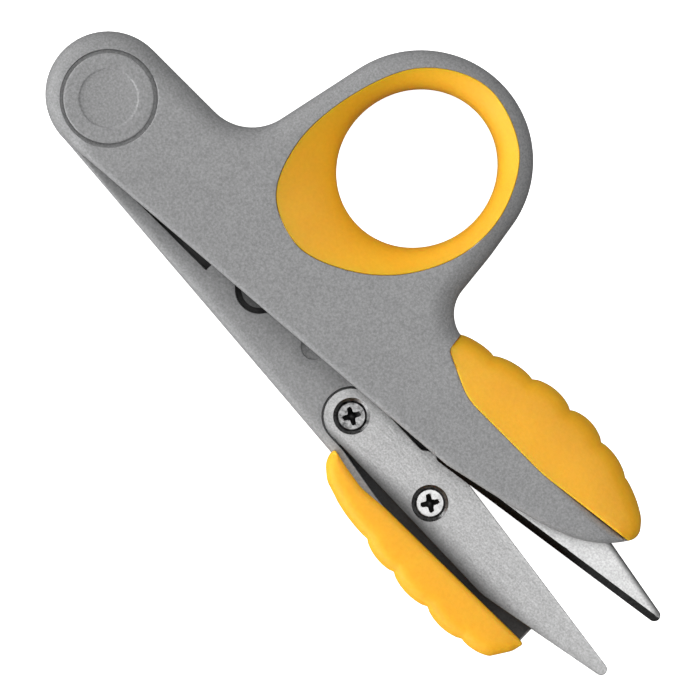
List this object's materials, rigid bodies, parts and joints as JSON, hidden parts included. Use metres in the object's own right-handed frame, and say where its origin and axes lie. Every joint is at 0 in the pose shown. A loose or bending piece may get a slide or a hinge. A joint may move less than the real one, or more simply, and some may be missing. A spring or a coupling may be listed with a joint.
{
  "type": "thread snips",
  "caption": "Thread snips with a finger ring, two pivoted moulded levers, soft grips and a pair of crossing steel blades.",
  "frame": {"origin": "on the pivot axis, at the underside of the pivot barrel's head", "axes": "+X from the pivot to the blade tips, +Y from the pivot side towards the finger ring, +Z along the pivot axis, away from the surface the snips lie on"},
  "size_m": [0.1154, 0.0599, 0.0121],
  "materials": {
    "grey_plastic": "fine matt grain",
    "yellow_rubber": "soft-touch elastomer",
    "blade_steel": "fine satin grind",
    "screw_steel": "bright plated",
    "nylon": "natural",
    "spring_steel": "drawn wire"
  },
  "bodies": {
    "ring_side": {"ring_lever": "grey_plastic", "ring_liner": "yellow_rubber", "ring_lever_grip": "yellow_rubber", "ring_blade": "blade_steel", "ring_blade_screw_rear": "screw_steel", "ring_blade_screw_front": "screw_steel", "pivot_barrel": "screw_steel", "pivot_screw": "screw_steel", "pivot_cap": "grey_plastic", "thrust_washer": "nylon", "lower_thrust_washer": "nylon", "return_spring": "spring_steel"},
    "lower_side": {"lower_lever": "grey_plastic", "lower_lever_grip": "yellow_rubber", "lower_blade": "blade_steel", "lower_blade_screw_rear": "screw_steel", "lower_blade_screw_front": "screw_steel"}
  },
  "joints": [
    {"name": "pivot", "type": "hinge", "parent": "ring_side", "child": "lower_side", "pos_m": [0, 0, 0], "axis": [0, 0, 1], "range_deg": [0, 6.2], "stiffness_Nm_per_rad": 0.6, "springref_deg": -14.32}
  ]
}
